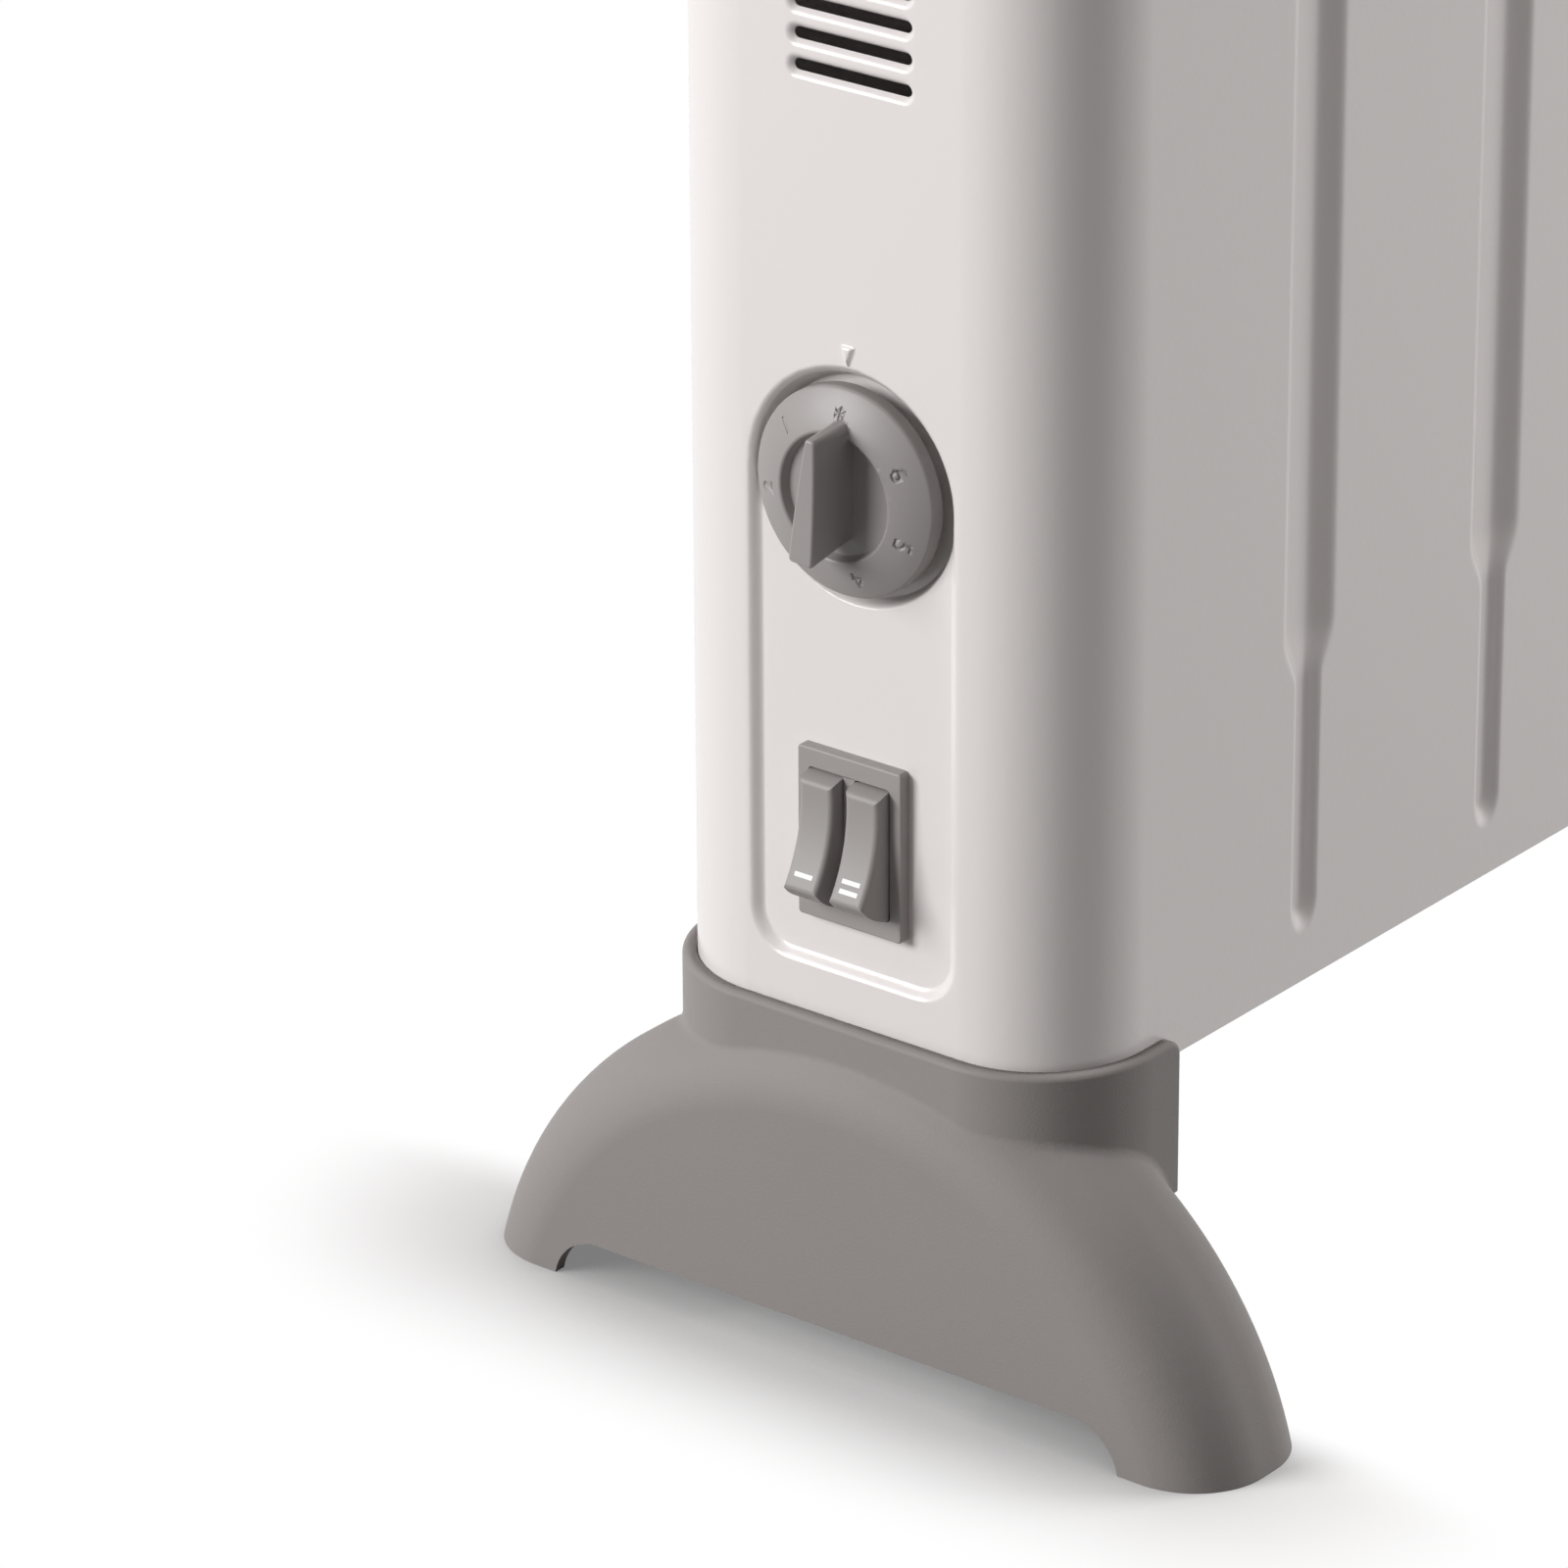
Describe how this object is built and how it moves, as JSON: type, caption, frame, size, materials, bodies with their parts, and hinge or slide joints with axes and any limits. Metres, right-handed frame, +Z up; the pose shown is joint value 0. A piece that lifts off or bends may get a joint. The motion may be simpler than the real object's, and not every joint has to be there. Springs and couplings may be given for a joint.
{
  "type": "convector heater",
  "caption": "Free-standing electric panel heater: ribbed sheet-steel case on moulded arch feet, with a round thermostat dial and twin rocker switches on one end.",
  "frame": {"origin": "on the floor, under the middle of the case", "axes": "+X along the case, away from the control end; +Y to the rear panel; +Z up"},
  "size_m": [0.7496, 0.202, 0.44],
  "materials": {
    "white_paint": "gloss stove enamel, warm white",
    "zinc_steel": "zinc-plated sheet and fixings",
    "grey_plastic": "mid-grey moulding, fine spark texture",
    "knob_plastic": "mid-grey moulding, satin",
    "switch_plastic": "mid-grey moulding, satin",
    "rocker_plastic": "mid-grey moulding, satin",
    "dark_phenolic": "dark phenolic moulding",
    "brass_contacts": "bright brass strip",
    "shield_aluminium": "bright rolled sheet",
    "fin_aluminium": "extruded, dull",
    "rod_steel": "oxidised stainless sheath",
    "ceramic_white": "unglazed steatite",
    "wire_sleeve": "heat-resistant silicone sleeve"
  },
  "bodies": {
    "case": {"front_shell": "white_paint", "rear_panel": "white_paint", "top_grille": "white_paint", "base_tray": "zinc_steel", "control_foot": "grey_plastic", "far_foot": "grey_plastic", "thermostat_frame": "zinc_steel", "thermostat_block": "dark_phenolic", "bimetal_strip": "brass_contacts", "thermostat_terminals": "brass_contacts", "switch_housing": "switch_plastic", "switch_terminals": "brass_contacts", "control_bulkhead": "zinc_steel", "far_bracket": "zinc_steel", "front_heat_shield": "shield_aluminium", "rear_heat_shield": "shield_aluminium", "front_element_fins": "fin_aluminium", "rear_element_fins": "fin_aluminium", "front_element_rod": "rod_steel", "rear_element_rod": "rod_steel", "element_bushes": "ceramic_white", "thermal_cutout": "dark_phenolic", "terminal_block": "ceramic_white", "neutral_link": "brass_contacts", "cord_gland": "grey_plastic", "gland_nut": "grey_plastic", "wiring_leads": "wire_sleeve", "rear_panel_screws": "zinc_steel", "foot_screws": "zinc_steel", "tray_screws": "zinc_steel", "thermostat_screws": "zinc_steel", "bulkhead_screws": "zinc_steel"},
    "knob": {"thermostat_knob": "knob_plastic", "thermostat_shaft": "zinc_steel"},
    "left_rocker_body": {"left_rocker": "rocker_plastic"},
    "right_rocker_body": {"right_rocker": "rocker_plastic"}
  },
  "joints": [
    {"name": "knob_turn", "type": "hinge", "parent": "case", "child": "knob", "pos_m": [-0.363, 0, 0.2011], "axis": [1, 0, 0], "range_deg": [0, 300]},
    {"name": "left_rocker_tilt", "type": "hinge", "parent": "case", "child": "left_rocker_body", "pos_m": [-0.3614, 0.00605, 0.1214], "axis": [0, -1, 0], "range_deg": [0, 28]},
    {"name": "right_rocker_tilt", "type": "hinge", "parent": "case", "child": "right_rocker_body", "pos_m": [-0.3614, -0.00605, 0.1214], "axis": [0, -1, 0], "range_deg": [0, 28]}
  ]
}
